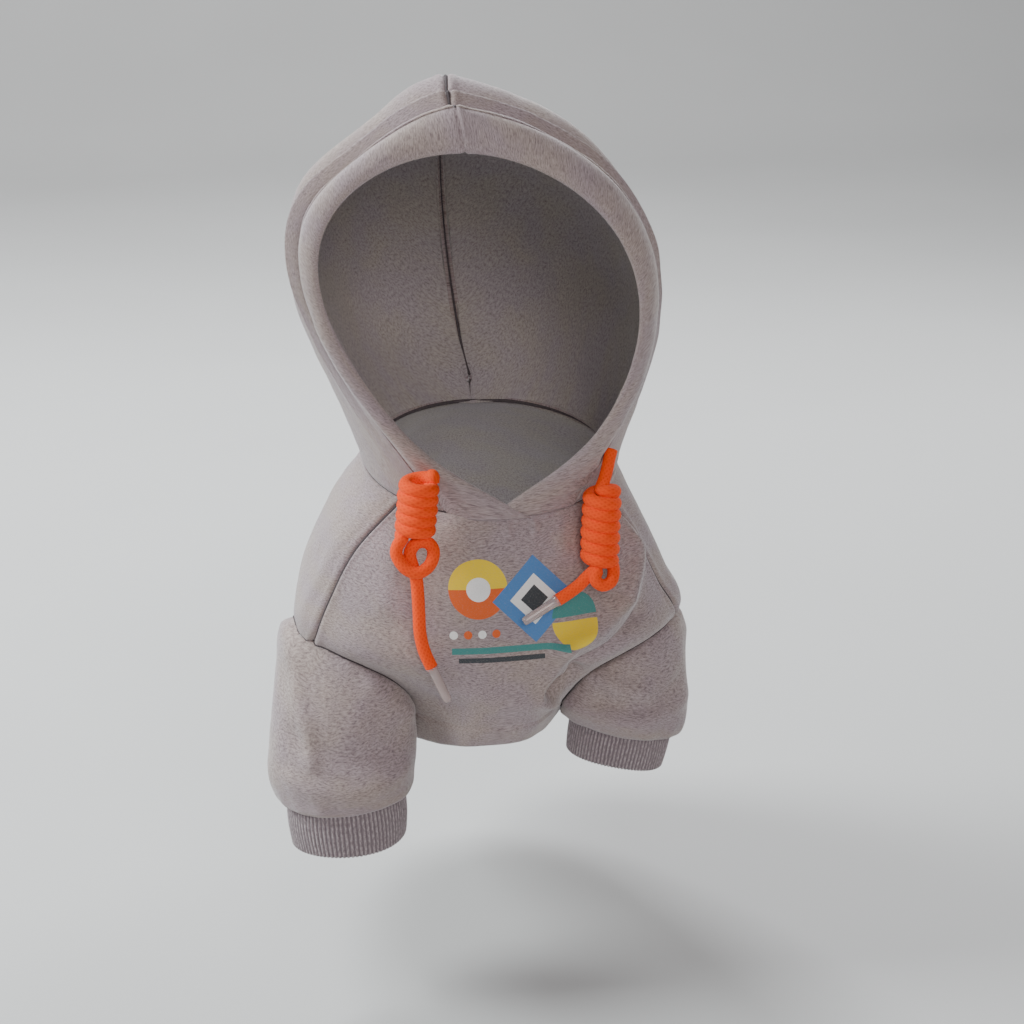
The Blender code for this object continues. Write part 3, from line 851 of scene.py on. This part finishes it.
for side, word in WORDS.items():

    def hood_surface(u, v):
        return hood_point(side * (1 - u), 0.98 + v * (len(HOOD) - 1.98))

    def hood_relief(point, across, along):
        place = 0.98 + along * (len(HOOD) - 1.98)
        ridge = fold_rise(place) * math.sin(math.pi / 2 * min(across * 1.5, 1.0)) ** 2
        edge = seam_roll((1 - across) * 150) + seam_roll(across * 150)
        return edge + ridge + drape(point, 1.4, 0.35) * min(1.0, (1 - across) * 12, across * 12)

    mesh = lay(hood_surface, 130, 230)
    face_out(mesh)
    press(mesh, hood_relief)
    hood = dress(
        f"hood_cloth_{word}", mesh, [fleece, fleece_inside], "marl_fleece", f"hood_{word}"
    )
    thicken(hood, FLEECE)


# The hood's middle seam: a thin tube in painted seam shade along the hood's top.
ridge = []
for i in range(321):
    spot = hood_point(0, 1 + i / 32)
    out = Vector((0, spot.y, spot.z - 70)).normalized()
    ridge.append(spot + out * (fold_rise(1 + i / 32) - 1.0))
dress("hood_seam", tube(ridge, lambda v: 0.75, 8), [painted_seam_shade], "marl_fleece")


# Brim: the hood's face edge turned back into a wide soft casing that holds the drawcord, with
# a middle seam and its lower ends lapped at the collar.
CASING, CASING_EDGE, CASING_ROLL = 3.0, 1.2, 2.4


def brim_point(u, v):
    """Round the casing's section as v goes from 0 to 1: its outside, then its inside."""
    across, turn = 2 * u - 1, 2 * math.pi * v
    share = 0.5 - 0.5 * math.cos(turn)
    full = math.copysign(abs(math.sin(turn)) ** 0.55, math.sin(turn))
    step = 1e-3
    along = hood_point(across, share + step) - hood_point(across, share - step)
    normal = (hood_point(across + step, share) - hood_point(across - step, share)).cross(along)
    normal.normalize()
    roll = CASING_ROLL * math.sin(math.pi * share)
    depth_in = CASING + (CASING_EDGE - CASING) * share
    high, low = roll, -(depth_in + roll / 2)
    foot = math.exp(-(((1 - abs(across)) / 0.09) ** 2)) * (1 - share)
    lap = 2.4 * foot * (1 if across < 0 else -0.8)
    high, low = high + lap, low + lap
    cross = Vector((-14 if across > 0 else 14, 0, 0)) * foot
    offset = normal * ((high + low) / 2 + full * (high - low) / 2)
    return hood_point(across, share) + cross + offset


def brim_relief(point, across, along):
    share = 0.5 - 0.5 * math.cos(2 * math.pi * along)
    off = (across - 0.5) * 520
    middle = 0.25 * math.exp(-(((off - 2.4) / 1.6) ** 2)) - 0.9 * math.exp(-((off / 0.9) ** 2))
    run = (1 - across) * 520
    pleats = 1.1 * math.sin(run / 1.35) * math.exp(-(((run - 12) / 9) ** 2)) * share
    return middle + pleats + drape(point, 1.1, 0.4) * math.sin(math.pi * share)


brim_look = marl("marl fleece on the brim", streak=(1700, 460))
mesh = lay(brim_point, 420, 48)
bmesh.ops.remove_doubles(mesh, verts=mesh.verts, dist=1e-6)
bmesh.ops.holes_fill(mesh, edges=[e for e in mesh.edges if e.is_boundary], sides=0)
bmesh.ops.recalc_face_normals(mesh, faces=mesh.faces)
press(mesh, brim_relief)
brim = dress("brim_casing", mesh, [brim_look], "marl_fleece", "hood_brim")


# Floor and light: a pale floor and wall, a large soft lamp high on the left, a weaker one on
# the right and one behind that lights the cloth's edges.
floor_mesh = bmesh.new()
bmesh.ops.create_grid(floor_mesh, x_segments=60, y_segments=60, size=4)
for vert in floor_mesh.verts:
    vert.co.y += 2.0
    rise = max(vert.co.y - 2.6, 0)
    vert.co.z = -0.25 + 1.5 * rise**2
floor_data = bpy.data.meshes.new("floor")
floor_mesh.to_mesh(floor_data)
floor_mesh.free()
floor_data.shade_smooth()
floor = bpy.data.objects.new("floor", floor_data)
bpy.context.scene.collection.objects.link(floor)
paper, look = new_look("pale floor")
speck = look.add("ShaderNodeTexNoise", {}, {"Vector": look.add("ShaderNodeTexCoord", out=3), "Scale": 3.0})
wear(look, look.add("ShaderNodeBsdfPrincipled", {}, {
    "Base Color": look.mix(speck, (0.50, 0.50, 0.50), (0.55, 0.55, 0.55)), "Roughness": 0.9,
}))
floor_data.materials.append(paper)

Lamp = namedtuple("Lamp", "name place aim size power colour")
for lamp in (
    Lamp("key", (-1.65, 0.30, 1.35), (0, 0, 0), 0.8, 62, (0.94, 1.0, 1.0)),
    Lamp("front", (0.0, -1.9, 0.9), (0, 0, 0), 1.0, 17, (1.0, 0.92, 0.895)),
    Lamp("edge", (-0.35, 1.1, 1.3), (0, 0, 0), 0.5, 30, (0.94, 0.98, 1.0)),
    Lamp("edge right", (1.2, 0.9, 0.7), (0, 0, 0), 0.6, 10, (0.97, 0.99, 1.0)),
    Lamp("wall", (0, 1.8, 2.4), (0, 3.4, 0.4), 2.5, 60, (1.0, 1.0, 1.0)),
):
    data = bpy.data.lights.new(lamp.name, "AREA")
    data.size, data.energy, data.color = lamp.size, lamp.power, lamp.colour
    made = bpy.data.objects.new(lamp.name, data)
    made.location = lamp.place
    made.rotation_euler = (Vector(lamp.aim) - Vector(lamp.place)).to_track_quat("-Z", "Y").to_euler()
    bpy.context.scene.collection.objects.link(made)
world = bpy.data.worlds.new("studio")
bpy.context.scene.world = world
world.use_nodes = True
world.node_tree.nodes["Background"].inputs[0].default_value = (0.62, 0.63, 0.65, 1)
world.node_tree.nodes["Background"].inputs[1].default_value = 0.35
